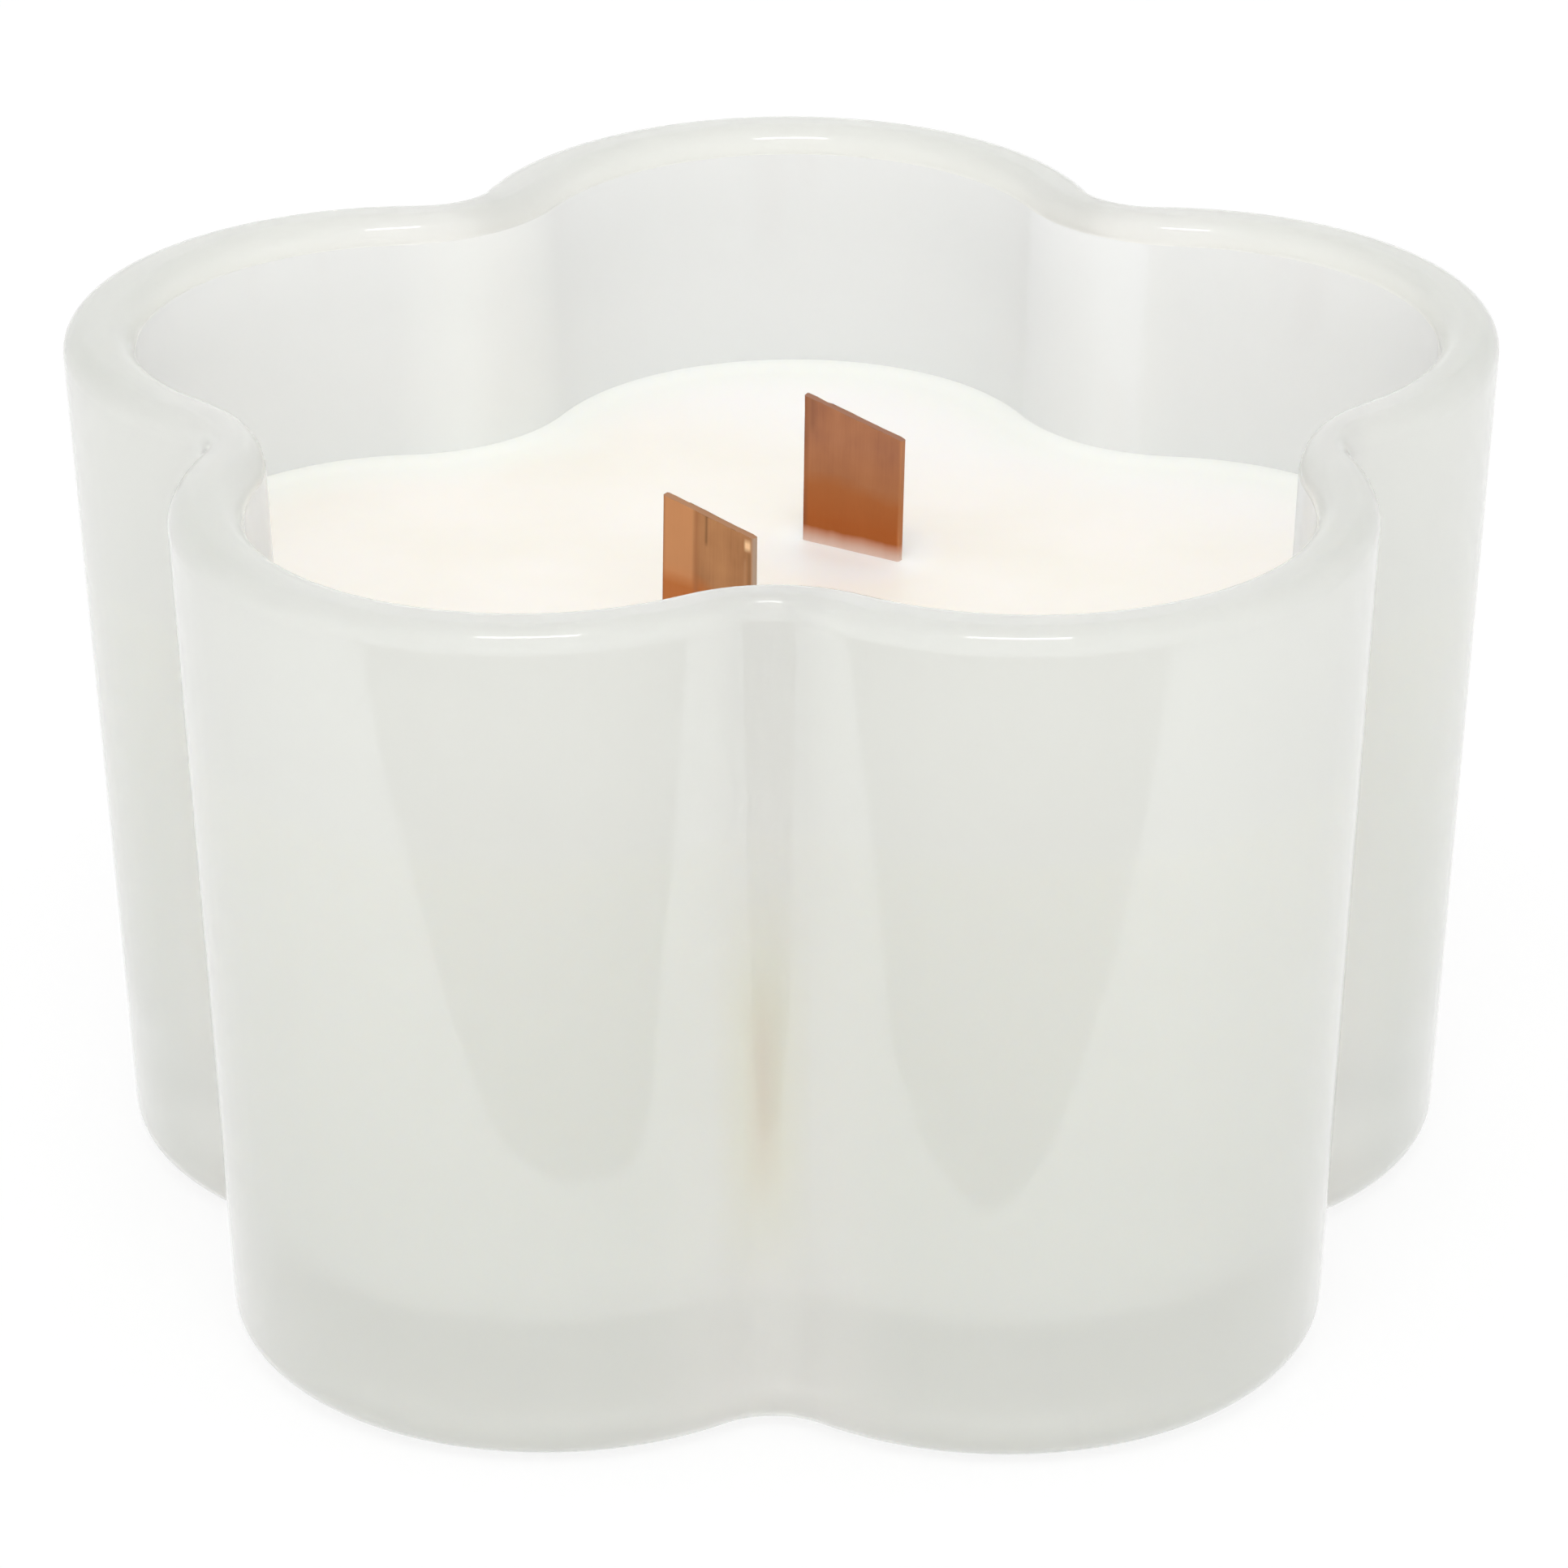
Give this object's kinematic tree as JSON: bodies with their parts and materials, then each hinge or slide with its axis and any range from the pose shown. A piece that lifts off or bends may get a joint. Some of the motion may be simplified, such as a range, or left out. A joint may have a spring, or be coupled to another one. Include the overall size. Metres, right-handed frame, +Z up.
{
  "type": "jar candle",
  "caption": "Cream wax candle poured in a thick satin glass jar with a lobed flower outline, with flat wooden wicks held upright in steel clips stuck to the jar's floor.",
  "frame": {"origin": "middle of the overall width and depth, on the surface that the jar stands on", "axes": "+X along the overall width, to the right as pictured; +Y towards the single rear lobe; +Z up"},
  "size_m": [0.1198, 0.1168, 0.0745],
  "materials": {
    "satin_glass": "satin acid etched",
    "cream_wax": "smooth poured wax",
    "cherry_wood": "bare sawn, straight grain",
    "tinned_steel": "tinned, stamped",
    "white_foam": "closed cell foam tape"
  },
  "bodies": {
    "root": {"glass_vessel": "satin_glass", "wax_fill": "cream_wax", "front_wick": "cherry_wood", "rear_wick": "cherry_wood", "front_wick_clip": "tinned_steel", "rear_wick_clip": "tinned_steel", "front_clip_sticker": "white_foam", "rear_clip_sticker": "white_foam"}
  },
  "joints": []
}
